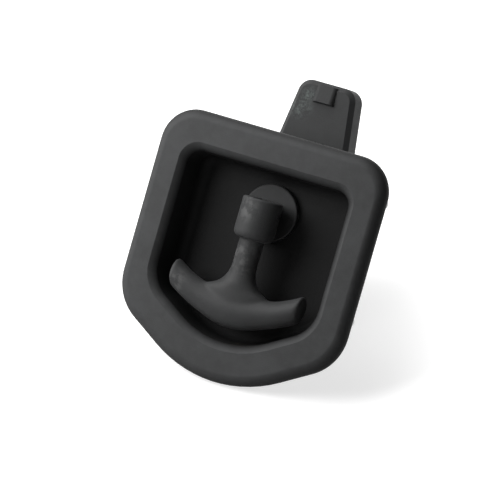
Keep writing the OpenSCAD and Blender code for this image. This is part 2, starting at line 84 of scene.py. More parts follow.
class Solid:
    """One mesh under work, in millimetres: x to the right, y up, z towards the viewer."""

    def __init__(self, obj: bpy.types.Object, name: str) -> None:
        """Take over a new object under a name."""
        self.obj = obj
        obj.name = name
        obj.data.name = name

    @classmethod
    def _new(cls, name: str) -> "Solid":
        """Take the primitive just added, with its place put into its mesh."""
        bpy.ops.object.transform_apply(location=True, rotation=True, scale=True)
        return cls(bpy.context.active_object, name)

    @classmethod
    def rod(cls, name: str, radius: float, low: float, high: float, axis: Axis = Axis.Z,
            at: Sequence[float] = (0, 0, 0), sides: int = 64) -> "Solid":
        """Add a cylinder.

        Args:
            name: Name of the mesh.
            radius: Its radius.
            low: Its lower end, measured along the axis from the place.
            high: Its upper end.
            axis: The direction it runs along.
            at: The place of its axis.
            sides: Number of sides.

        Returns:
            The new solid.
        """
        clear_selection()
        along = {Axis.X: Vector((1, 0, 0)), Axis.Y: Vector((0, 1, 0)), Axis.Z: Vector((0, 0, 1))}[axis]
        bpy.ops.mesh.primitive_cylinder_add(
            vertices=sides, radius=radius, depth=high - low, rotation=axis.value,
            location=Vector(at) + along * (low + high) / 2)
        return cls._new(name)

    @classmethod
    def block(cls, name: str, x: Sequence[float], y: Sequence[float], z: Sequence[float]) -> "Solid":
        """Add a block between two values on each axis."""
        clear_selection()
        low, high = Vector((x[0], y[0], z[0])), Vector((x[1], y[1], z[1]))
        bpy.ops.mesh.primitive_cube_add(size=1, location=(low + high) / 2, scale=high - low)
        return cls._new(name)

    @classmethod
    def point(cls, name: str, at: Vector) -> "Solid":
        """Add a lone point, as the last corner of a plane, moved to its place."""
        clear_selection()
        bpy.ops.mesh.primitive_plane_add(size=1)
        lone = cls._new(name)
        corner = Vector((0.5, 0.5, 0))
        with lone.editing():
            lone.pick(Part.POINTS, lambda c: (c[0] - corner).length > 1e-3)
            bpy.ops.mesh.delete(type="VERT")
            bpy.ops.mesh.select_all(action="SELECT")
            bpy.ops.transform.translate(value=at - corner)
        return lone

    @contextmanager
    def editing(self) -> Iterator[None]:
        """Edit mode on this mesh alone, with nothing selected."""
        clear_selection()
        bpy.context.view_layer.objects.active = self.obj
        self.obj.select_set(True)
        bpy.ops.object.mode_set(mode="EDIT")
        bpy.ops.mesh.select_all(action="DESELECT")
        yield
        bpy.ops.object.mode_set(mode="OBJECT")

    def face_out(self, merge: float = 0.0) -> None:
        """In edit mode, merge points that are closer than a gap and turn every face outwards."""
        bpy.ops.mesh.select_all(action="SELECT")
        if merge:
            bpy.ops.mesh.remove_doubles(threshold=merge)
        bpy.ops.mesh.normals_make_consistent(inside=False)

    def pick(self, part: Part, test: Callable[[Sequence[Vector]], bool]) -> int:
        """Select what lies in a place.

        Args:
            part: Points, edges or faces.
            test: Takes the corner points of one of them and says whether it is wanted.

        Returns:
            How many were selected.
        """
        bpy.ops.mesh.select_mode(type=part.value)
        bpy.ops.mesh.select_all(action="DESELECT")
        shape = bmesh.from_edit_mesh(self.obj.data)
        items = {Part.POINTS: shape.verts, Part.EDGES: shape.edges, Part.FACES: shape.faces}[part]
        count = 0
        for item in items:
            corners = [item.co] if part is Part.POINTS else [v.co for v in item.verts]
            if test(corners):
                item.select_set(True)
                count += 1
        shape.select_flush_mode()
        bmesh.update_edit_mesh(self.obj.data)
        return count

    def round(self, test: Callable[[Sequence[Vector]], bool], width: float, steps: int = 6,
              bulge: float = 0.5) -> None:
        """Bevel the edges that a test picks.

        Args:
            test: Picks the edges.
            width: Width of the bevel.
            steps: Number of faces across it.
            bulge: 0.5 for a true round, less for a flatter one.
        """
        with self.editing():
            if self.pick(Part.EDGES, test):
                bpy.ops.mesh.bevel(offset=width, segments=steps, profile=bulge, affect="EDGES",
                                   clamp_overlap=False)

    def join(self, other: "Solid", how: Join) -> "Solid":
        """Add, cut or keep what another solid covers, and remove that other one."""
        clear_selection()
        bpy.context.view_layer.objects.active = self.obj
        self.obj.select_set(True)
        bpy.ops.object.modifier_add(type="BOOLEAN")
        tool = self.obj.modifiers[-1]
        tool.operation = how.value
        tool.solver = "EXACT"
        tool.object = other.obj
        bpy.ops.object.modifier_apply(modifier=tool.name)
        bpy.data.objects.remove(other.obj)
        return self

    def absorb(self, other: "Solid") -> "Solid":
        """Take another mesh into this one without joining the surfaces."""
        clear_selection()
        other.obj.select_set(True)
        self.obj.select_set(True)
        bpy.context.view_layer.objects.active = self.obj
        bpy.ops.object.join()
        return self

    def copy(self, offset: Sequence[float]) -> "Solid":
        """A copy with its own mesh, moved by an offset."""
        clear_selection()
        twin = self.obj.copy()
        twin.data = self.obj.data.copy()
        bpy.context.scene.collection.objects.link(twin)
        twin.data.transform(Matrix.Translation(Vector(offset)))
        return Solid(twin, self.obj.name + "_copy")

    def turn(self, angle: float, axis: str = "Z", about: Sequence[float] = (0, 0, 0)) -> "Solid":
        """Turn the whole mesh by degrees about an axis through a place."""
        place = Matrix.Translation(Vector(about))
        self.obj.data.transform(place @ Matrix.Rotation(math.radians(angle), 4, axis) @ place.inverted())
        return self

    def soften(self, voxel: float, rounds: int) -> None:
        """Melt joined forms into one skin.

        Args:
            voxel: Size of the skin's facets.
            rounds: How often the skin is smoothed.
        """
        clear_selection()
        bpy.context.view_layer.objects.active = self.obj
        self.obj.select_set(True)
        for kind, settings in (("REMESH", {"mode": "VOXEL", "voxel_size": voxel, "adaptivity": 0.0}),
                               ("SMOOTH", {"factor": 0.5, "iterations": rounds})):
            bpy.ops.object.modifier_add(type=kind)
            tool = self.obj.modifiers[-1]
            for key, value in settings.items():
                setattr(tool, key, value)
            bpy.ops.object.modifier_apply(modifier=tool.name)

    def cut_flat(self, z: float, keep_below: bool) -> None:
        """Cut the mesh level at a height and close the cut."""
        with self.editing():
            bpy.ops.mesh.select_all(action="SELECT")
            bpy.ops.mesh.bisect(plane_co=(0, 0, z), plane_no=(0, 0, 1), use_fill=True,
                                clear_outer=keep_below, clear_inner=not keep_below)

    def stand(self, smooth: float = 32.0) -> bpy.types.Object:
        """Close, stand and scale the finished mesh into the frame.

        Args:
            smooth: Edges sharper than this many degrees stay crisp.

        Returns:
            The finished object, at the origin.
        """
        with self.editing():
            self.face_out(0.002)
        self.obj.rotation_euler = (math.pi / 2, 0, 0)
        self.obj.scale = (MM, MM, MM)
        self.obj.select_set(True)
        bpy.context.view_layer.objects.active = self.obj
        bpy.ops.object.transform_apply(location=True, rotation=True, scale=True)
        bpy.ops.object.shade_smooth_by_angle(angle=math.radians(smooth))
        bpy.ops.object.modifier_add(type="WEIGHTED_NORMAL")
        tool = self.obj.modifiers[-1]
        tool.keep_sharp = True
        bpy.ops.object.modifier_apply(modifier=tool.name)
        clear_selection()
        return self.obj


@dataclass(frozen=True)
class Outline:
    """A closed outline of rounded corners, counter-clockwise."""

    corners: tuple[Corner, ...]
    steps: int = 14

    def _three(self, i: int) -> list[Vector]:
        """The corner before one, that corner and the corner after it."""
        return [Vector(self.corners[k % len(self.corners)][:2]) for k in (i - 1, i, i + 1)]

    def _bend(self, i: int) -> float:
        """Angle by which the outline turns at a corner."""
        before, here, after = self._three(i)
        return (here - before).angle(after - here)

    def centre(self, i: int) -> Vector:
        """Centre of a corner's arc."""
        before, here, after = self._three(i)
        into = ((before - here).normalized() + (after - here).normalized()).normalized()
        return here + into * self.corners[i][2] / math.cos(self._bend(i) / 2)

    def start(self, i: int) -> Vector:
        """First point of a corner's arc."""
        before, here, _ = self._three(i)
        return here + (before - here).normalized() * self.corners[i][2] * math.tan(self._bend(i) / 2)

    def grown(self, out: float) -> "Outline":
        """The outline at a distance outside this one."""
        moved = []
        for i, (x, y, r) in enumerate(self.corners):
            corner = self.centre(i) + (Vector((x, y)) - self.centre(i)) * (r + out) / r
            moved.append((corner.x, corner.y, r + out))
        return Outline(tuple(moved), self.steps)

    def corner_of(self, p: Vector) -> Optional[int]:
        """Number of the corner whose arc a point lies on, or None."""
        for i, (_, _, r) in enumerate(self.corners):
            if abs((p.xy - self.centre(i)).length - r) < 0.01 and (p.xy - self.start(i)).length < 2.1 * r:
                return i
        return None

    def panel(self, name: str, z: float) -> Solid:
        """Model the outline as one flat face at a height, each corner spun from a point."""
        here = self.start(0).to_3d() + Vector((0, 0, z))
        sheet = Solid.point(name, here)
        with sheet.editing():
            bpy.ops.mesh.select_all(action="SELECT")
            for i in range(len(self.corners)):
                step = self.start(i).to_3d() + Vector((0, 0, z)) - here
                if step.length > 0.01:
                    bpy.ops.mesh.extrude_region_move(TRANSFORM_OT_translate={"value": step})
                centre, bend = self.centre(i), self._bend(i)
                bpy.ops.mesh.spin(steps=self.steps, angle=-bend, center=(centre.x, centre.y, z), axis=(0, 0, 1))
                arm = self.start(i) - centre
                arm.rotate(Matrix.Rotation(bend, 2))
                here = (centre + arm).to_3d() + Vector((0, 0, z))
            bpy.ops.mesh.select_all(action="SELECT")
            bpy.ops.mesh.remove_doubles(threshold=0.005)
            bpy.ops.mesh.edge_face_add()
        return sheet

    def lead_to(self, solid: Solid, low: float, other: "Outline", high: float) -> None:
        """Draw a band of faces from the loop on this outline to another outline of the same bends.

        Args:
            solid: The mesh that has the loop.
            low: Height of the loop.
            other: The outline where the band ends.
            high: Height where it ends.
        """
        washout_glow = Vector((0, 0, 500.0))
        with solid.editing():
            solid.pick(Part.EDGES, level(low, lambda p: self.corner_of(p) is not None))
            bpy.ops.mesh.extrude_edges_move(TRANSFORM_OT_translate={"value": washout_glow})
            for i, (_, _, r) in enumerate(self.corners):
                old, new = self.centre(i), other.centre(i)
                scale = other.corners[i][2] / r
                solid.pick(Part.POINTS, lambda c, i=i:
                           abs(c[0].z - low - washout_glow.z) < 0.01 and self.corner_of(c[0]) == i)
                bpy.ops.transform.resize(value=(scale, scale, 1), center_override=(old.x, old.y, low + washout_glow.z))
                bpy.ops.transform.translate(value=(new - old).to_3d() + Vector((0, 0, high - low)) - washout_glow)

    def slab(self, name: str, low: float, high: float) -> Solid:
        """Model the outline as a slab between two heights."""
        sheet = self.panel(name, low)
        with sheet.editing():
            bpy.ops.mesh.select_all(action="SELECT")
            bpy.ops.mesh.extrude_region_move(TRANSFORM_OT_translate={"value": (0, 0, high - low)})
            sheet.face_out()
        return sheet


def level(z: float, inside: Optional[Callable[[Vector], bool]] = None) -> Callable[[Sequence[Vector]], bool]:
    """A test for what lies at one height.

    Args:
        z: The height.
        inside: A further test that each point has to meet.

    Returns:
        The test, for Solid.pick.
    """
    return lambda points: all(abs(p.z - z) < 0.01 and (inside is None or inside(p)) for p in points)


def threaded(name: str, radius: float, pitch: float, low: float, high: float, steps: int = 32) -> Solid:
    """Model a screw thread as a true helix with level ends.

    Args:
        name: Name of the mesh.
        radius: Outer radius of the thread.
        pitch: Rise of one turn.
        low: Lower end.
        high: Upper end.
        steps: Steps in one turn.

    Returns:
        The closed thread.
    """
    depth = 0.61 * pitch
    rod = Solid.point(name, Vector((radius - depth, 0, low - 2 * pitch)))
    with rod.editing():
        bpy.ops.mesh.select_all(action="SELECT")
        turns = int((high - low) / pitch) + 4
        for _ in range(turns):
            for rise, out in ((0.42, depth), (0.12, 0.0), (0.42, -depth), (0.04, 0.0)):
                bpy.ops.mesh.extrude_region_move(
                    TRANSFORM_OT_translate={"value": (out, 0, rise * pitch)})
    clear_selection()
    bpy.context.view_layer.objects.active = rod.obj
    rod.obj.select_set(True)
    bpy.ops.object.modifier_add(type="SCREW")
    tool = rod.obj.modifiers[-1]
    tool.axis = "Z"
    tool.angle = 2 * math.pi
    tool.screw_offset = pitch
    tool.steps = steps
    tool.render_steps = steps
    tool.use_merge_vertices = False
    bpy.ops.object.modifier_apply(modifier=tool.name)
    with rod.editing():
        rod.face_out(0.001)
    rod.cut_flat(low, keep_below=False)
    rod.cut_flat(high, keep_below=True)
    return rod


def hexagon(name: str, across: float, low: float, high: float, at: Sequence[float] = (0, 0, 0)) -> Solid:
    """Model a hexagon with its corners turned off at both ends.

    Args:
        name: Name of the mesh.
        across: Width across its flats.
        low: Lower end.
        high: Upper end.
        at: Place of its axis.

    Returns:
        The chamfered hexagon.
    """
    body = Solid.rod(name, across / math.sqrt(3), low, high, at=at, sides=6).turn(30, "Z", at)
    turned = Solid.rod("turned", across / math.sqrt(3) * 1.005, low, high, at=at, sides=96)
    turned.round(lambda p: abs(p[0].z - p[1].z) < 0.01, across * 0.055, 1)
    return body.join(turned, Join.KEEP)


class Sum:
    """A shader value that takes part in Python expressions."""

    def __init__(self, nodes: "Board", socket: bpy.types.NodeSocket) -> None:
        """Wrap one output socket of a board of nodes."""
        self.nodes = nodes
        self.socket = socket

    def _math(self, operation: str, *values: "Value") -> "Sum":
        """Add one Math node."""
        return self.nodes.add("ShaderNodeMath", {"operation": operation}, dict(enumerate(values)))

    def __add__(self, other: "Value") -> "Sum":
        """This plus another."""
        return self._math("ADD", self, other)

    __radd__ = __add__

    def __sub__(self, other: "Value") -> "Sum":
        """This minus another."""
        return self._math("SUBTRACT", self, other)

    def __rsub__(self, other: "Value") -> "Sum":
        """Another minus this."""
        return self._math("SUBTRACT", other, self)

    def __mul__(self, other: "Value") -> "Sum":
        """This times another."""
        return self._math("MULTIPLY", self, other)

    __rmul__ = __mul__

    def clamp(self, low: float, high: float) -> "Sum":
        """This, moved from a range to 0 to 1 and held there."""
        return self.nodes.add("ShaderNodeMapRange", {"clamp": True, "interpolation_type": "SMOOTHSTEP"},
                              {"Value": self, "From Min": low, "From Max": high})


Value = Union[Sum, Number, Sequence[float]]


class Board:
    """The nodes of one material, or of the world."""

    def __init__(self, name: str, world: bool = False) -> None:
        """Start with an output alone."""
        self.owner = (bpy.data.worlds if world else bpy.data.materials).new(name)
        self.owner.use_nodes = True
        self.tree = self.owner.node_tree
        self.tree.nodes.clear()
        self.output = self.tree.nodes.new("ShaderNodeOutputWorld" if world else "ShaderNodeOutputMaterial")

    def add(self, kind: str, settings: Optional[dict] = None, inputs: Optional[dict] = None,
            output: Union[int, str] = 0) -> Sum:
        """Add one node.

        Args:
            kind: The node's type.
            settings: What is set on the node itself; "stops" sets a ramp's places and colours.
            inputs: Values or links for its sockets, by name or number.
            output: The socket that is wanted.

        Returns:
            That output.
        """
        node = self.tree.nodes.new(kind)
        for key, value in (settings or {}).items():
            if key == "stops":
                ramp = node.color_ramp
                while len(ramp.elements) < len(value):
                    ramp.elements.new(0.5)
                for element, (place, colour) in zip(ramp.elements, value):
                    element.position = place
                    element.color = colour
            else:
                setattr(node, key, value)
        for key, value in (inputs or {}).items():
            socket = node.inputs[key]
            if isinstance(value, Sum):
                self.tree.links.new(value.socket, socket)
            else:
                socket.default_value = value
        return Sum(self, node.outputs[output])

    def place(self) -> Sum:
        """The point of the surface, in metres, in the frame."""
        return self.add("ShaderNodeTexCoord", output="Object")

    def noise(self, per_metre: float, detail: float = 3.0, rough: float = 0.55,
              stretch: Sequence[float] = (1, 1, 1), at: Optional[Sum] = None) -> Sum:
        """Soft noise.

        Args:
            per_metre: How many lumps come to a metre.
            detail: Number of finer layers.
            rough: Strength of the finer layers.
            stretch: Scale along each axis.
            at: Where it is read, or the surface point.

        Returns:
            A value about 0.5.
        """
        spot = self.add("ShaderNodeMapping", {}, {"Vector": at or self.place(), "Scale": tuple(stretch)})
        return self.add("ShaderNodeTexNoise", {}, {"Vector": spot, "Scale": per_metre, "Detail": detail,
                                                   "Roughness": rough})

    def blend(self, share: Value, first: Value, second: Value) -> Sum:
        """Mix two colours."""
        return self.add("ShaderNodeMix", {"data_type": "RGBA"}, {0: share, 6: first, 7: second}, output=2)

    def axis(self, name: str) -> Sum:
        """One coordinate of the surface point."""
        return self.add("ShaderNodeSeparateXYZ", {}, {0: self.place()}, output=name)

    def near(self, spot: Sequence[float], reach: float) -> Sum:
        """1 at a place, falling to 0 at a reach from it."""
        gap = self.add("ShaderNodeVectorMath", {"operation": "DISTANCE"}, {0: self.place(), 1: tuple(spot)},
                       output="Value")
        return 1 - gap.clamp(0.2 * reach, reach)

    def bump(self, height: Sum, depth: float, base: Optional[Sum] = None) -> Sum:
        """A bumped normal from a height in metres."""
        inputs = {"Height": height, "Distance": depth, "Strength": 1.0}
        if base is not None:
            inputs["Normal"] = base
        return self.add("ShaderNodeBump", {}, inputs)

    def surface(self, **sockets: Value) -> bpy.types.Material:
        """Finish with a surface shader whose sockets are named with underscores."""
        inputs = {key.replace("_", " "): value for key, value in sockets.items()}
        return self.finish(self.add("ShaderNodeBsdfPrincipled", {}, inputs))

    def seen(self) -> Sum:
        """1 for a ray that shows the background, by itself or in gloss and glass, and 0 for light."""
        rays = [self.add("ShaderNodeLightPath", output=kind)
                for kind in ("Is Camera Ray", "Is Glossy Ray", "Is Transmission Ray")]
        return rays[0] + rays[1] + rays[2]

    def finish(self, shader: Sum) -> bpy.types.ID:
        """Lead a shader to the output and give back what it dresses."""
        self.tree.links.new(shader.socket, self.output.inputs["Surface"])
        return self.owner


def grey(value: float, warm: float = 0.0) -> tuple[float, float, float, float]:
    """A grey as a colour, a little warmer or cooler."""
    return (value * (1 + warm), value, value * (1 - warm), 1.0)


@dataclass(frozen=True)
class MouldedBlack:
    """Black moulded plastic with fine grain, flow marks, rubbed places lightened by painted glints, and a
    recess darkened by painted shade.
    """

    name: str
    tone: float = 0.036
    gloss: float = 0.50
    grain: float = 0.00004
    # Spots of rubbed wear: the surface turns glossier there, and its colour is lightened as a painted
    # highlight.
    rub_and_glint_spots: tuple[tuple[tuple[float, float, float], float], ...] = ()
    scuffed: tuple[tuple[tuple[float, float, float], float], ...] = ()
    # Depth band, in metres, over which the recess is darkened with painted shade; recess_shade_share sets how
    # strongly.
    recess: Optional[tuple[float, float]] = None
    recess_shade_share: float = 0.84
    sheen: float = 0.15

    def _painted_recess_shade(self, b: Board) -> Sum:
        """Mask for painted shade: 1 on forward-facing surfaces deep in the recess, falling to 0 towards the
        flange and elsewhere.
        """
        depth = b.axis("Y").clamp(*self.recess)
        normal = b.add("ShaderNodeTexCoord", output="Normal")
        facing = b.add("ShaderNodeSeparateXYZ", {}, {0: normal}, output="Y")
        return depth * (1 - facing.clamp(-0.06, 0.02))

    def material(self) -> bpy.types.Material:
        """Build the finish."""
        b = Board(self.name)
        flow = b.noise(26, 4, 0.5, (1, 1, 2.2))
        mottle = b.noise(150, 3, 0.6)
        pores = b.noise(1500, 2, 0.6)
        hair = b.noise(420, 4, 0.65, (1, 1, 9)).clamp(0.66, 0.78)
        rub_glint_near = 0.0
        for spot, reach in self.rub_and_glint_spots:
            rub_glint_near = b.near(spot, reach) + rub_glint_near
        scuff = 0.0
        for spot, reach in self.scuffed:
            patch = (b.noise(150, 5, 0.75) * 0.6 + b.noise(800, 3, 0.6) * 0.4).clamp(0.41, 0.66)
            scuff = b.near(spot, reach) * patch + scuff
        tone = flow.clamp(0.3, 0.7) * 0.22 + mottle.clamp(0.3, 0.7) * 0.24 + 0.2
        colour = b.blend(tone, grey(self.tone * 0.72, -0.01), grey(self.tone * 1.22, -0.02))
        colour = b.blend(hair * 0.14, colour, grey(0.11))
        # Painted shade: the recess floor and walls are darkened nearly to black, in place of the shade inside
        # the recess.
        if self.recess:
            colour = b.blend(self._painted_recess_shade(b) * self.recess_shade_share, colour, grey(0.002))
        if self.scuffed:
            colour = b.blend(scuff * 0.45, colour, (0.19, 0.22, 0.21, 1))
        rough = self.gloss + (mottle - 0.5) * 0.16 + (flow - 0.5) * 0.14
        # Rubbed spots: the lower roughness is real wear, and the lighter colour is a painted highlight standing
        # in for glints.
        if self.rub_and_glint_spots:
            rub_and_painted_glint = rub_glint_near * b.noise(210, 3, 0.6).clamp(0.42, 0.60)
            colour = b.blend(rub_and_painted_glint * 0.42, colour, grey(0.11))
            rough = rough - rub_and_painted_glint * 0.14
        if self.scuffed:
            rough = rough + scuff * 0.2
        normal = b.bump(pores * 0.75 + mottle * 0.5, self.grain * 2.5)
        return b.surface(Base_Color=colour, Roughness=rough, Normal=normal, Specular_IOR_Level=self.sheen)


@dataclass(frozen=True)
class BlackCoat:
    """Black coating on metal, smooth and a little orange-peeled, worn to grey at rubbed spots."""

    name: str
    tone: float = 0.027

    def material(self) -> bpy.types.Material:
        """Build the finish."""
        b = Board(self.name)
        peel = b.noise(520, 2, 0.5)
        cloud = b.noise(60, 3, 0.55)
        speck = b.noise(900, 4, 0.7).clamp(0.68, 0.76)
        colour = b.blend(cloud, grey(self.tone * 0.8), grey(self.tone * 1.25, -0.02))
        colour = b.blend(speck * 0.35, colour, grey(0.16))
        rough = 0.46 + (cloud - 0.5) * 0.18 + speck * 0.1
        return b.surface(Base_Color=colour, Roughness=rough, Normal=b.bump(peel, 0.00006),
                         Specular_IOR_Level=0.12)


@dataclass(frozen=True)
class ZincPlate:
    """Zinc-plated steel: bluish grey with turning marks and dull spots."""

    name: str
    tone: float = 0.58
    lines: tuple[float, float, float] = (1, 14, 1)

    def material(self) -> bpy.types.Material:
        """Build the finish."""
        b = Board(self.name)
        turning = b.noise(360, 3, 0.6, self.lines)
        cloud = b.noise(110, 4, 0.6)
        spots = b.noise(700, 3, 0.6).clamp(0.60, 0.72)
        colour = b.blend(cloud, grey(self.tone * 0.78, -0.03), grey(self.tone * 1.08, 0.02))
        colour = b.blend(spots * 0.45, colour, grey(0.34, 0.02))
        rough = 0.27 + turning * 0.12 + cloud * 0.10 + spots * 0.18
        return b.surface(Base_Color=colour, Metallic=1.0, Roughness=rough,
                         Normal=b.bump(turning, 0.00003))


@dataclass(frozen=True)
class PlugBrass:
    """Satin brass with fine turning marks, darker where it has dulled."""

    name: str

    def material(self) -> bpy.types.Material:
        """Build the finish."""
        b = Board(self.name)
        turning = b.noise(500, 3, 0.6, (1, 10, 1))
        dull = b.noise(240, 4, 0.6)
        colour = b.blend(dull.clamp(0.35, 0.7), (0.70, 0.55, 0.27, 1), (0.45, 0.34, 0.17, 1))
        rough = 0.26 + dull * 0.2 + turning * 0.08
        return b.surface(Base_Color=colour, Metallic=1.0, Roughness=rough, Normal=b.bump(turning, 0.00003))


@dataclass(frozen=True)
class SealRubber:
    """Matt black rubber with a dusty bloom."""

    name: str

    def material(self) -> bpy.types.Material:
        """Build the finish."""
        b = Board(self.name)
        bloom = b.noise(90, 4, 0.6)
        pores = b.noise(1300, 3, 0.6)
        colour = b.blend(bloom, grey(0.014), grey(0.040, 0.03))
        return b.surface(Base_Color=colour, Roughness=0.72 + bloom * 0.18, Normal=b.bump(pores, 0.00008))


@dataclass(frozen=True)
class BearingPlastic:
    """Natural bearing plastic, waxy and off-white, a little greased."""

    name: str

    def material(self) -> bpy.types.Material:
        """Build the finish."""
        b = Board(self.name)
        grease = b.noise(140, 4, 0.6).clamp(0.5, 0.75)
        fine = b.noise(900, 2, 0.5)
        colour = b.blend(grease, (0.74, 0.72, 0.64, 1), (0.48, 0.44, 0.34, 1))
        return b.surface(Base_Color=colour, Roughness=0.48 - grease * 0.22 + fine * 0.06,
                         Normal=b.bump(fine, 0.00003))


@dataclass
class Pan:
    """Moulded pan: flange, rim, drafted recess, neck, ribs and lock boss."""

    face: float = 8.0
    floor: float = -16.5
    floor_back: float = -20.5
    edge_r: float = 6.0
    rim_r: float = 3.8
    fillet_r: float = 5.5
    draft: float = 5.0
    wall: float = 3.5
    neck_r: float = 16.0
    neck_end: float = -42.5
    bore_r: float = 10.95
    rib_t: float = 3.0
    rib_reach: float = 32.0
    lock_drop: float = 56.0
    lock_r: float = 8.55
    lock_flat: float = 7.55
    boss_r: float = 13.0
    boss_t: float = 4.0
    stud_x: float = 59.5
    stud_y: tuple[float, float] = (22.0, -44.0)
    seat_r: float = 4.55
    seat_t: float = 4.5
    slope: float = 31.0
    back_r: float = 2.2
    rim_bulge: float = 0.29
    edge_bulge: float = 0.43
    lug_r: float = 13.2
    lug_end: float = -46.36
    lug_span: float = 18.0
    lug_starts: tuple[float, float] = (-41.84, -177.84)

    def outline(self, half: float, top: float, toe: float, corner: float, knee: float, blunt: float) -> Outline:
        """The pan's outline: square at the top, with a blunt point at the bottom.

        Args:
            half: Half its width.
            top: Its top edge.
            toe: Its lowest point, as a drop.
            corner: Radius at the top.
            knee: Radius where the sides turn in.
            blunt: Radius at the bottom.

        Returns:
            The outline.
        """
        tip = -(toe + blunt * (1 / math.cos(math.radians(self.slope)) - 1))
        turn = tip + half * math.tan(math.radians(self.slope))
        return Outline(((half, top, corner), (-half, top, corner), (-half, turn, knee), (0, tip, blunt),
                        (half, turn, knee)))

    def shell(self) -> Solid:
        """Model the flange, the recess and the outside of the pan as one closed skin."""
        flange = self.outline(half=67.5, top=44, toe=96, corner=20, knee=28, blunt=72)
        recess = self.outline(half=48.5, top=23, toe=74, corner=8.5, knee=20, blunt=50)
        lean = math.tan(math.radians(self.draft))
        mouth = recess.grown(self.rim_r * lean)
        foot = recess.grown(-(self.face - self.rim_r - self.floor) * lean)
        outside, back = recess.grown(self.wall), foot.grown(self.wall)
        skin = flange.panel("latch_pan", self.face)
        with skin.editing():
            bpy.ops.mesh.select_all(action="SELECT")
            bpy.ops.mesh.delete(type="ONLY_FACE")
        flange.lead_to(skin, self.face, mouth, self.face)
        mouth.lead_to(skin, self.face, foot, self.floor)
        flange.lead_to(skin, self.face, flange, 0)
        flange.lead_to(skin, 0, outside, 0)
        outside.lead_to(skin, 0, back, self.floor_back)
        with skin.editing():
            for z in (self.floor, self.floor_back):
                skin.pick(Part.EDGES, level(z))
                bpy.ops.mesh.edge_face_add()
            skin.face_out()

        def within(p: Vector) -> bool:
            """Whether a point belongs to the recess and not to the flange's edge."""
            return mouth.corner_of(p) is not None

        skin.round(level(self.floor), self.fillet_r, 8)
        skin.round(level(self.floor_back), self.back_r, 4)
        skin.round(level(self.face, within), self.rim_r, 8, self.rim_bulge)
        skin.round(level(self.face, lambda p: flange.corner_of(p) is not None), self.edge_r, 8, self.edge_bulge)
        return skin

    def build(self) -> bpy.types.Object:
        """Model the whole pan."""
        pan = self.shell()
        neck = Solid.rod("neck", self.neck_r, self.neck_end, self.floor_back + 1, sides=96)
        neck.round(level(self.neck_end), 0.6, 3)
        pan.join(neck, Join.ADD)
        for turn in (45, 135, 225, 315):
            rib = Solid.block("rib", (self.neck_r - 2, self.rib_reach), (-self.rib_t / 2, self.rib_t / 2),
                              (self.neck_end + 4, self.floor_back + 1))
            with rib.editing():
                bpy.ops.mesh.select_all(action="SELECT")
                rise = self.floor_back - 2 - (self.neck_end + 4)
                bpy.ops.mesh.bisect(plane_co=(self.rib_reach, 0, self.floor_back - 2),
                                    plane_no=(rise, 0, -(self.rib_reach - self.neck_r + 2)), use_fill=True,
                                    clear_outer=True)
            pan.join(rib.turn(turn), Join.ADD)
        boss = Solid.rod("boss", self.boss_r, self.floor_back - self.boss_t, self.floor_back + 1,
                         at=(0, -self.lock_drop, 0), sides=72)
        boss.round(level(self.floor_back - self.boss_t), 0.8, 3)
        pan.join(boss, Join.ADD)
        for start in self.lug_starts:
            pan.join(self.lug(start), Join.ADD)
        pan.join(Solid.rod("bore", self.bore_r, self.neck_end - 1, self.floor + 1, sides=96), Join.CUT)
        hole = Solid.rod("hole", self.lock_r, self.floor_back - self.boss_t - 1, self.floor + 1,
                         at=(0, -self.lock_drop, 0), sides=72)
        flats = Solid.block("flats", (-self.lock_flat, self.lock_flat),
                            (-self.lock_drop - 20, -self.lock_drop + 20),
                            (self.floor_back - self.boss_t - 2, self.floor + 2))
        pan.join(hole.join(flats, Join.KEEP), Join.CUT)
        for x in (-self.stud_x, self.stud_x):
            for y in self.stud_y:
                pan.join(Solid.rod("seat", self.seat_r, -1, self.seat_t, at=(x, y, 0), sides=48), Join.CUT)
        return pan.stand(30)

    def lug(self, start: float) -> Solid:
        """Model one stop lug on the neck's end: a sliver spun round the axis, then turned to its start."""
        sliver = 0.001
        lug = Solid.block("lug", (self.lug_r, self.neck_r), (0, sliver), (self.lug_end, self.neck_end + 1))
        with lug.editing():
            lug.pick(Part.FACES, lambda c: all(p.y > sliver / 2 for p in c))
            bpy.ops.mesh.spin(steps=8, angle=-math.radians(self.lug_span), center=(0, 0, 0), axis=(0, 0, 1))
            lug.face_out(2 * sliver)
        return lug.turn(start)


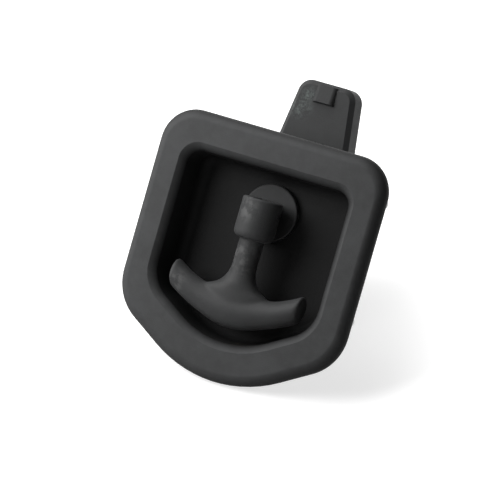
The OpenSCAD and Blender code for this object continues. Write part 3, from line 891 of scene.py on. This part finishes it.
@dataclass
class Handle:
    """Folding T-handle: knuckle, stem and upturned cross bar, with the hinge pin."""

    pin_z: float = 2.0
    pin_r: float = 2.5
    knuckle_r: float = 11.2
    knuckle_top: float = 6.5
    knuckle_drop: float = -16.0
    stem_r: float = 6.9
    bar_drop: float = -56.0
    bar_r: float = 9.2
    bar_h: float = 9.8
    bar_curve: float = 69.0
    arm_at: float = 26.0
    bar_half: float = 38.5
    crotch_r: float = 14.0
    end_rim: float = 1.8
    end_flat: float = 0.84
    arm_loss: tuple[float, float] = (0.20, 0.10)
    flare_wide: float = 0.92
    flare_deep: float = 0.35
    slot_half: float = 4.2
    slot_r: float = 6.6

    def bar_line(self, x: float) -> float:
        """Height of the cross bar's centre line."""
        return self.bar_curve + self.bar_drop - math.sqrt(self.bar_curve ** 2 - x ** 2)

    def loft(self, name: str, rings: Sequence[tuple[Vector, float, float]], along: Axis) -> Solid:
        """Extrude a disc through a row of oval sections.

        Args:
            name: Name of the mesh.
            rings: Centre, half width and half depth of each section.
            along: Direction in which the row runs, X or Y.

        Returns:
            The closed solid.
        """
        clear_selection()
        bpy.ops.mesh.primitive_circle_add(vertices=48, radius=1, fill_type="NGON", rotation=along.value)
        body = Solid._new(name)
        with body.editing():
            bpy.ops.mesh.select_all(action="SELECT")
            spot, wide, deep = Vector((0, 0, 0)), 1.0, 1.0
            for i, (centre, width, depth) in enumerate(rings):
                if i:
                    bpy.ops.mesh.extrude_region_move(TRANSFORM_OT_translate={"value": centre - spot})
                else:
                    bpy.ops.transform.translate(value=centre - spot)
                size = (1, width / wide, depth / deep) if along is Axis.X else (width / wide, 1, depth / deep)
                bpy.ops.transform.resize(value=size, center_override=centre)
                spot, wide, deep = centre, width, depth
            body.face_out()
        return body

    def slim(self, x: float, loss: float) -> float:
        """Share of its full section that the cross bar keeps at a place, less along its arms."""
        return 1 - loss * math.sin(min(1.0, abs(x) / self.arm_at) * math.pi / 2) ** 2

    def bar(self) -> Solid:
        """Model the cross bar: highest in the middle, with flat ends and rounded rims."""
        rim, flat = self.end_rim, self.end_flat
        marks = (0.05, 0.2, 0.4, 0.8, 1.3, rim)
        reach = [self.bar_half - m for m in marks]
        inner = [reach[-1] * k / 14 for k in range(-14, 15)]
        rings = []
        for x in [-r for r in reach[:-1]] + inner + list(reversed(reach[:-1])):
            gap = min(1.0, (self.bar_half - abs(x)) / rim)
            close = flat + (1 - flat) * math.sqrt(1 - (1 - gap) ** 2)
            rings.append((Vector((x, self.bar_line(x), 0)), self.bar_h * close * self.slim(x, self.arm_loss[0]),
                          self.bar_r * close * self.slim(x, self.arm_loss[1])))
        return self.loft("bar", rings, Axis.X)

    def stem(self) -> Solid:
        """Model the stem, flared at its foot into the cross bar."""
        side = self.stem_r + self.crotch_r
        top_of_bar = self.bar_line(side) + self.bar_h * self.slim(side, self.arm_loss[0])
        start = self.knuckle_drop + 4
        rings = []
        for k in range(31):
            y = start + (self.bar_drop - start) * k / 30
            dip = min(self.crotch_r, max(0.0, top_of_bar + self.crotch_r - y))
            flare = self.crotch_r - math.sqrt(self.crotch_r ** 2 - dip ** 2)
            rings.append((Vector((0, y, 0)), self.stem_r + flare * self.flare_wide,
                          self.stem_r + min(flare, 4) * self.flare_deep))
        return self.loft("stem", rings, Axis.Y)

    def build(self) -> bpy.types.Object:
        """Model the handle as one skin and cut the hinge slot."""
        handle = Solid.rod("t_handle", self.knuckle_r, self.knuckle_drop, self.knuckle_top, Axis.Y, sides=96)
        handle.round(lambda c: all(abs(p.y - self.knuckle_drop) < 0.01 for p in c), 3.5, 8)
        handle.round(lambda c: all(abs(p.y - self.knuckle_top) < 0.01 for p in c), 0.9, 4)
        grip = self.stem().join(self.bar(), Join.ADD)
        grip.soften(0.6, 25)
        handle.join(grip, Join.ADD)
        handle.soften(0.5, 6)
        reach = self.knuckle_r + 2
        for cutter in (
                Solid.rod("slot", self.slot_r, -self.slot_half, self.slot_half, Axis.X, sides=72),
                Solid.block("behind", (-self.slot_half, self.slot_half), (-self.slot_r, self.knuckle_top + 2),
                            (-reach, 0)),
                Solid.block("above", (-self.slot_half, self.slot_half), (0, self.knuckle_top + 2),
                            (-reach, self.slot_r)),
                Solid.rod("pin_hole", self.pin_r + 0.05, -reach, reach, Axis.X, sides=48)):
            handle.join(cutter, Join.CUT)
        handle.obj.data.transform(Matrix.Translation((0, 0, self.pin_z)))
        return handle.stand(40)

    def pin(self) -> bpy.types.Object:
        """Model the hinge pin with riveted ends."""
        end = self.knuckle_r
        pin = Solid.rod("hinge_rivet", self.pin_r, -end, end, Axis.X, at=(0, 0, self.pin_z), sides=48)
        pin.round(lambda c: abs(c[0].x - c[1].x) < 0.01, 0.5, 4)
        for side in (-1, 1):
            dimple = Solid.rod("dimple", 0.9, end - 0.5, end + 1, Axis.X, at=(0, 0, self.pin_z), sides=32)
            if side < 0:
                dimple.turn(180, "Z")
            pin.join(dimple, Join.CUT)
        return pin.stand(35)


@dataclass
class Spindle:
    """Spindle with its face plate, hinge tongue, driving square and threaded end."""

    plate_r: float = 16.0
    plate_back: float = -16.1
    plate_face: float = -12.6
    shaft_r: float = 8.0
    shoulder: float = -43.76
    square: float = 11.0
    cam_back: float = -61.76
    thread_r: float = 5.0
    thread_end: float = -76.66
    tongue_t: float = 7.6
    tongue_r: float = 6.2
    pin_z: float = 2.0
    pin_r: float = 2.56

    def build(self) -> bpy.types.Object:
        """Model the spindle."""
        spindle = Solid.rod("turning_spindle", self.plate_r, self.plate_back, self.plate_face, sides=96)
        spindle.round(level(self.plate_face), 1.0, 5)
        spindle.round(level(self.plate_back), 0.4, 2)
        spindle.join(Solid.rod("shaft", self.shaft_r, self.shoulder, self.plate_back + 1, sides=96), Join.ADD)
        half = self.square / 2
        drive = Solid.block("drive", (-half, half), (-half, half), (self.cam_back, self.shoulder + 1))
        drive.round(lambda c: abs(c[0].z - c[1].z) > 1, 0.5, 2)
        spindle.join(drive, Join.ADD)
        spindle.join(threaded("thread", self.thread_r, 1.5, self.thread_end, self.cam_back + 0.5), Join.ADD)
        wide = self.tongue_t / 2
        tongue = Solid.block("tongue", (-wide, wide), (-self.tongue_r, self.tongue_r),
                             (self.plate_face - 1, self.pin_z))
        eye = Solid.rod("eye", self.tongue_r, -wide, wide, Axis.X, at=(0, 0, self.pin_z), sides=72)
        tongue.join(eye, Join.ADD)
        spindle.join(tongue, Join.ADD)
        hole = Solid.rod("pin_hole", self.pin_r, -9, 9, Axis.X, at=(0, 0, self.pin_z), sides=48)
        spindle.join(hole, Join.CUT)
        return spindle.stand(30)


@dataclass
class Cam:
    """Tapered cam with a chamfered front, a raised pad and a ribbed back."""

    reach: float = 77.0
    tip_half: float = 16.4
    corner_r: float = 8.0
    hub_r: float = 27.0
    front: float = -46.76
    back: float = -61.76
    chamfer: float = 2.6
    wall: float = 3.5
    drive: float = 5.55
    pad_w: float = 12.0
    pad_len: float = 11.4
    pad_h: float = 2.6
    pad_fall: float = 1.3
    pad_slope: float = 1.7
    pad_r: float = 2.3
    pad_edge: float = 1.4
    core_r: float = 16.0

    def outline(self) -> Outline:
        """The cam's outline: a hub and a tip joined by tangents."""
        lean = (math.asin(self.hub_r / math.hypot(self.tip_half, self.reach))
                - math.atan2(self.tip_half, self.reach))
        low = self.hub_r * (1 + math.sin(lean)) / math.cos(lean)
        return Outline(((self.tip_half, self.reach, self.corner_r), (-self.tip_half, self.reach, self.corner_r),
                        (-low, -self.hub_r, self.hub_r), (low, -self.hub_r, self.hub_r)), 20)

    def build(self) -> bpy.types.Object:
        """Model the cam."""
        outline = self.outline()
        cam = outline.slab("latch_cam", self.back, self.front)
        cam.round(level(self.front), self.chamfer, 1)
        cam.round(level(self.back), 0.5, 2)
        top = self.reach - self.pad_edge
        pad = Solid.block("pad", (-self.pad_w / 2, self.pad_w / 2), (top - self.pad_len, top),
                          (self.front - self.chamfer, self.front + self.pad_h))
        with pad.editing():
            pad.pick(Part.POINTS, lambda c: c[0].y < top - 1 and c[0].z > self.front)
            bpy.ops.transform.translate(value=(0, self.pad_slope, 0))
        for side in (-1, 1):
            at_side = level(self.front + self.pad_h, lambda p: p.x * side > self.pad_w / 2 - 0.1)
            pad.round(at_side, self.pad_r, 6)
        with pad.editing():
            pad.pick(Part.POINTS, lambda c: c[0].y > top - 1 and c[0].z > self.front)
            bpy.ops.transform.translate(value=(0, 0, -self.pad_fall))
        cam.join(pad, Join.ADD)
        hollow = outline.grown(-self.wall - self.chamfer).slab("hollow", self.back - 1,
                                                               self.front - self.chamfer - self.wall)
        hollow.join(Solid.rod("core", self.core_r, self.back - 2, self.front, sides=72), Join.CUT)
        half = self.wall / 2
        for turn, low, high in ((0, 0, self.reach), (55, -self.hub_r, self.hub_r),
                                (125, -self.hub_r, self.hub_r)):
            rib = Solid.block("rib", (-half, half), (low, high), (self.back - 2, self.front))
            hollow.join(rib.turn(turn), Join.CUT)
        cam.join(hollow, Join.CUT)
        cam.join(Solid.block("drive", (-self.drive, self.drive), (-self.drive, self.drive),
                             (self.back - 1, self.front + 1)), Join.CUT)
        return cam.stand(30)


@dataclass
class Fixings:
    """Studs, nuts and the screw, with real threads and turned-off corners."""

    stud_r: float = 3.0
    stud_end: float = -18.0
    head_r: float = 4.5
    head_t: float = 4.5
    stud_x: float = 59.5
    stud_y: tuple[float, float] = (22.0, -44.0)

    def studs(self) -> bpy.types.Object:
        """Model one stud and copy it to its four places."""
        stud = Solid.rod("stud", self.head_r, 0, self.head_t, sides=40)
        stud.join(Solid.rod("shank", self.stud_r, -3.5, 0.5, sides=40), Join.ADD)
        thread = threaded("thread", self.stud_r, 1.0, self.stud_end, -3)
        stud.join(thread, Join.ADD)
        copies = [stud.copy((x, y, 0)) for x in (-self.stud_x, self.stud_x) for y in self.stud_y]
        bpy.data.objects.remove(stud.obj)
        group = copies[0]
        for other in copies[1:]:
            group.absorb(other)
        group.obj.name = "panel_stud_set"
        return group.stand(30)

    def nut(self, name: str, across: float, low: float, high: float, bore: float,
            at: Sequence[float] = (0, 0, 0)) -> bpy.types.Object:
        """Model one nut with a plain round hole.

        Args:
            name: Name of the piece.
            across: Width across flats.
            low: Back face.
            high: Front face.
            bore: Radius of the hole.
            at: Place of its axis.

        Returns:
            The finished nut.
        """
        nut = hexagon(name, across, low, high, at)
        hole = Solid.rod("hole", bore, low - 1, high + 1, at=at, sides=64)
        nut.join(hole, Join.CUT)
        return nut.stand(25)

    def screw(self, low: float, drop: float, grip: float) -> bpy.types.Object:
        """Model the screw that holds the blocking arm."""
        screw = hexagon("arm_screw", 7.2, low - 2.6, low, (0, -drop, 0))
        screw.join(Solid.rod("shank", 2.0, low - 0.5, grip, at=(0, -drop, 0), sides=40), Join.ADD)
        slot = Solid.block("slot", (-6, 6), (-drop - 0.5, -drop + 0.5), (low - 3.6, low - 1.5))
        screw.join(slot, Join.CUT)
        return screw.stand(25)


@dataclass
class Lock:
    """Wafer lock: body, plug with keyway, and blocking arm."""

    drop: float = 56.0
    floor: float = -16.5
    head_r: float = 9.5
    head_t: float = 1.6
    body_r: float = 8.5
    flat: float = 7.5
    end: float = -43.26
    plug_r: float = 6.0
    plug_face: float = -15.3
    arm_front: float = -44.26
    arm_back: float = -46.26
    tail: float = 3.0
    key_w: float = 1.6
    key_h: float = 7.0
    wafers: int = 5
    arm_hub_r: float = 8.0
    arm_half: float = 4.0
    reach: float = 42.915

    def block(self, name: str, wide: float, tall: float, low: float, high: float) -> Solid:
        """Add a block on the lock's axis, by its half width, half height and two ends."""
        return Solid.block(name, (-wide, wide), (-self.drop - tall, -self.drop + tall), (low, high))

    def body(self) -> bpy.types.Object:
        """Model the lock's body with its round head."""
        at = (0, -self.drop, 0)
        body = Solid.rod("lock_barrel", self.head_r, self.floor, self.floor + self.head_t, at=at, sides=80)
        body.round(level(self.floor + self.head_t), 0.7, 4)
        shank = threaded("shank", self.body_r, 1.0, self.end, self.floor + 0.3, 48)
        shank.obj.data.transform(Matrix.Translation(at))
        flats = self.block("flats", self.flat, 20, self.end - 1, self.floor + 1)
        body.join(shank.join(flats, Join.KEEP), Join.ADD)
        bore = Solid.rod("bore", self.plug_r + 0.06, self.end - 1, self.floor + 5, at=at, sides=64)
        body.join(bore, Join.CUT)
        return body.stand(30)

    def plug(self) -> bpy.types.Object:
        """Model the plug with its keyway, wafer slots and tail."""
        at = (0, -self.drop, 0)
        plug = Solid.rod("lock_core", self.plug_r, self.arm_front, self.plug_face, at=at, sides=64)
        plug.round(level(self.plug_face), 0.4, 3)
        plug.join(self.block("tail", self.tail, self.tail, self.arm_back, self.arm_front + 1), Join.ADD)
        wide, tall, mouth = self.key_w / 2, self.key_h / 2, self.plug_face + 1
        plug.join(self.block("keyway", wide, tall, self.plug_face - 20, mouth), Join.CUT)
        plug.join(self.block("lead", wide + 0.5, tall + 0.4, self.plug_face - 0.4, mouth), Join.CUT)
        for i in range(self.wafers):
            z = self.plug_face - 5 - i * 2.6
            plug.join(self.block("slot", 2.45, 7, z - 0.05, z + 0.95), Join.CUT)
        hole = Solid.rod("screw_hole", 2.05, self.arm_back - 1, self.arm_back + 8, at=at, sides=40)
        plug.join(hole, Join.CUT)
        return plug.stand(30)

    def arm(self) -> bpy.types.Object:
        """Model the pressed blocking arm."""
        at = (0, -self.drop, 0)
        arm = Solid.rod("blocking_arm", self.arm_hub_r, self.arm_back, self.arm_front, at=at, sides=64)
        blade = Solid.block("blade", (-self.reach, 0), (-self.drop - 7, -self.drop + 7),
                            (self.arm_back, self.arm_front))
        with blade.editing():
            blade.pick(Part.FACES, lambda c: all(p.x < -1 for p in c))
            bpy.ops.transform.resize(value=(1, self.arm_half / 7, 1),
                                     center_override=(-self.reach, -self.drop, 0))
        blade.round(lambda c: all(p.x < -self.reach + 1 for p in c) and abs(c[0].z - c[1].z) > 1, 1.2, 5)
        arm.join(blade, Join.ADD)
        half = self.tail + 0.05
        arm.join(self.block("square", half, half, self.arm_back - 1, self.arm_front + 1), Join.CUT)
        arm.round(lambda c: (level(self.arm_back)(c) or level(self.arm_front)(c))
                  and all(abs(p.x) > half + 0.5 or abs(p.y + self.drop) > half + 0.5 for p in c), 0.25, 2)
        return arm.stand(30)


@dataclass
class Studio:
    """Pale table, soft light and the camera."""

    turn: float = 20.5
    lift: float = 2.9
    roll: float = 16.0
    span: float = 0.2695
    lens: float = 200.0
    film: float = 36.0
    aim: tuple[float, float, float] = (0.0, -0.008, 0.0)
    aim_px: tuple[float, float] = (256.5, 210.6)
    image_px: float = 500.0
    table_tilt: float = 34.0
    table_tone: float = 0.50
    table_glow: float = 0.71
    # Distances from the table's centre over which its glow rises to full: painted light that whitens the shadow
    # further from the latch.
    shadow_washout_reach: tuple[float, float] = (0.07, 0.14)
    room: float = 0.04
    right: Vector = field(default_factory=Vector)
    up: Vector = field(default_factory=Vector)
    back: Vector = field(default_factory=Vector)

    def camera(self) -> None:
        """Set the camera at the photographed angle."""
        turn, lift, roll = (math.radians(a) for a in (self.turn, self.lift, self.roll))
        self.back = Vector((math.sin(turn) * math.cos(lift), -math.cos(turn) * math.cos(lift), math.sin(lift)))
        flat = Vector((math.cos(turn), math.sin(turn), 0))
        upright = self.back.cross(flat)
        self.right = flat * math.cos(roll) + upright * math.sin(roll)
        self.up = upright * math.cos(roll) - flat * math.sin(roll)
        per_px = self.span / self.image_px
        centre = self.image_px / 2
        middle = (Vector(self.aim) - self.right * (self.aim_px[0] - centre) * per_px
                  + self.up * (self.aim_px[1] - centre) * per_px)
        lens = bpy.data.cameras.new("photo_camera")
        lens.lens = self.lens
        lens.sensor_width = self.film
        lens.clip_start = 0.05
        camera = bpy.data.objects.new("photo_camera", lens)
        place = Matrix((self.right, self.up, self.back)).transposed().to_4x4()
        place.translation = middle + self.back * self.span * self.lens / self.film
        camera.matrix_world = place
        bpy.context.scene.collection.objects.link(camera)
        bpy.context.scene.camera = camera

    def lamp(self, name: str, toward: Vector, distance: float, size: float, power: float) -> None:
        """Add one soft lamp that faces the latch.

        Args:
            name: Name of the lamp.
            toward: Direction from the latch to the lamp.
            distance: Its distance.
            size: Its side.
            power: Its power in watts.
        """
        light = bpy.data.lights.new(name, "AREA")
        light.size = size
        light.energy = power
        lamp = bpy.data.objects.new(name, light)
        spot = toward.normalized() * distance + Vector((0, 0, -0.02))
        lamp.matrix_world = Matrix.Translation(spot) @ toward.to_track_quat("Z", "Y").to_matrix().to_4x4()
        bpy.context.scene.collection.objects.link(lamp)

    def pale(self, name: str) -> bpy.types.Material:
        """A pale table finish that shows white from above, keeps the latch's shadow close to it, washes the
        shadow out further away with painted glow, and can't be seen from below.
        """
        b = Board(name)
        base = b.add("ShaderNodeBsdfDiffuse", {}, {"Color": grey(self.table_tone)})
        # Painted light: the glow grows with distance from the spot under the latch and whitens the shadow far
        # from it.
        washout_glow = b.add("ShaderNodeVectorMath", {"operation": "LENGTH"},
                     {0: b.add("ShaderNodeTexCoord", output="Object")}, output="Value").clamp(*self.shadow_washout_reach)
        strength = b.seen() * (washout_glow * (1 - self.table_glow) + self.table_glow)
        glow = b.add("ShaderNodeEmission", {}, {"Color": grey(1.0), "Strength": strength})
        above = b.add("ShaderNodeAddShader", {}, {0: base, 1: glow})
        under = b.add("ShaderNodeNewGeometry", output="Backfacing")
        clear = b.add("ShaderNodeBsdfTransparent")
        return b.finish(b.add("ShaderNodeMixShader", {}, {0: under, 1: above, 2: clear}))

    def stage(self, latch: Sequence[bpy.types.Object]) -> None:
        """Lay the table under the latch's toe, at the photographed slope."""
        tilt = math.radians(self.table_tilt)
        normal = self.up * math.cos(tilt) + self.back * math.sin(tilt)
        lowest = min(normal.dot(v.co) for piece in latch for v in piece.data.vertices)
        clear_selection()
        bpy.ops.mesh.primitive_plane_add(size=8, location=normal * (lowest - 0.0004),
                                         rotation=normal.to_track_quat("Z", "Y").to_euler())
        table = bpy.context.active_object
        table.name = "table"
        table.data.materials.append(self.pale("pale_table"))

    def world(self) -> None:
        """Light the room softly and show it white."""
        b = Board("pale_room", world=True)
        strength = b.seen() * (1 - self.room) + self.room
        light = b.add("ShaderNodeBackground", {}, {"Color": grey(1.0), "Strength": strength})
        bpy.context.scene.world = b.finish(light)

    def build(self, latch: Sequence[bpy.types.Object]) -> None:
        """Set the whole studio around the latch's pieces."""
        self.camera()
        self.stage(latch)
        self.world()
        self.lamp("top", self.up * 0.96 + self.back * 0.14 - self.right * 0.30, 1.1, 0.7, 8)
        self.lamp("left", self.up * 0.52 + self.back * 0.40 - self.right * 0.76, 0.55, 0.4, 4.4)
        self.lamp("behind", Vector((-0.5, 1.0, 0.9)), 1.5, 1.0, 9)
        bpy.context.scene.view_settings.view_transform = "Standard"


def dress(obj: bpy.types.Object, finish: bpy.types.Material) -> None:
    """Give an object one finish all over."""
    obj.data.materials.clear()
    obj.data.materials.append(finish)


def main() -> None:
    """Build the pieces, dress them and the carried-over solids, and set the studio."""
    logging.basicConfig(level=logging.INFO, format="%(name)s: %(message)s")
    # recess gives the depth band over which painted shade darkens the pan's recess.
    pan_black = MouldedBlack("pan_black", 0.055, 0.60, sheen=0.08, recess=(-0.0079, -0.0035)).material()
    # Rubbed wear on the stem, knuckle and left bar end, with painted glints in its lighter colour.
    handle_black = MouldedBlack("handle_black", 0.037, 0.54, sheen=0.12,
                                rub_and_glint_spots=(((-0.003, -0.008, -0.027), 0.015), ((-0.004, -0.012, 0.000), 0.010),
                                        ((-0.034, -0.010, -0.049), 0.010))).material()
    cam_black = MouldedBlack("cam_black", 0.035, 0.62, sheen=0.15,
                             scuffed=(((-0.0125, 0.0468, 0.0605), 0.009),
                                      ((-0.0095, 0.0468, 0.069), 0.006))).material()
    coat = BlackCoat("black_coat").material()
    zinc = ZincPlate("zinc_plate").material()
    brass = PlugBrass("plug_brass").material()
    rubber = SealRubber("seal_rubber").material()
    bearing = BearingPlastic("bearing_plastic").material()
    handle, lock, fixings = Handle(), Lock(), Fixings()
    pieces = (
        (Pan().build, "housing", "housing", "black_moulding", pan_black),
        (handle.build, "handle", "handle", "black_moulding", handle_black),
        (handle.pin, "hinge_pin", "handle", "black_casting", coat),
        (Spindle().build, "spindle", "rotor", "black_casting", coat),
        (Cam().build, "cam", "rotor", "black_moulding", cam_black),
        (fixings.studs, "mounting_studs", "housing", "zinc_plate", zinc),
        (lambda: fixings.nut("cam_locknut", across=17, low=-74.16, high=-66.16, bore=5.05),
         "cam_nut", "rotor", "zinc_plate", zinc),
        (lambda: fixings.nut("lock_ring_nut", across=22, low=-29.5, high=-24.5, bore=8.55, at=(0, -56, 0)),
         "lock_nut", "housing", "zinc_plate", zinc),
        (lambda: fixings.screw(-47.26, 56, -39.26), "lock_cam_screw", "lock", "zinc_plate", zinc),
        (lock.body, "lock_body", "housing", "black_casting", coat),
        (lock.plug, "lock_plug", "lock", "brass_plug", brass),
        (lock.arm, "lock_cam", "lock", "zinc_plate", zinc),
    )
    latch = []
    for build, node, body, slot, finish in pieces:
        piece = build()
        latch.append(piece)
        dress(piece, finish)
        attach(piece, body)
        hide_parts(node)
        log.info("%s stands for %s: %d faces", piece.name, node, len(piece.data.polygons))
    kept = {"flange_gasket": rubber, "spindle_seal": rubber, "spindle_bushing": bearing,
            "thrust_washer": bearing, "lock_disc": zinc, "cam_washer": zinc, "spring_washer": zinc,
            "lock_wafers": brass, "lock_cam_washer": zinc}
    for node, finish in kept.items():
        latch.append(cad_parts[node])
        dress(latch[-1], finish)
        log.info("%s keeps its solid", node)
    Studio().build(latch)


if __name__ == "__main__":
    main()
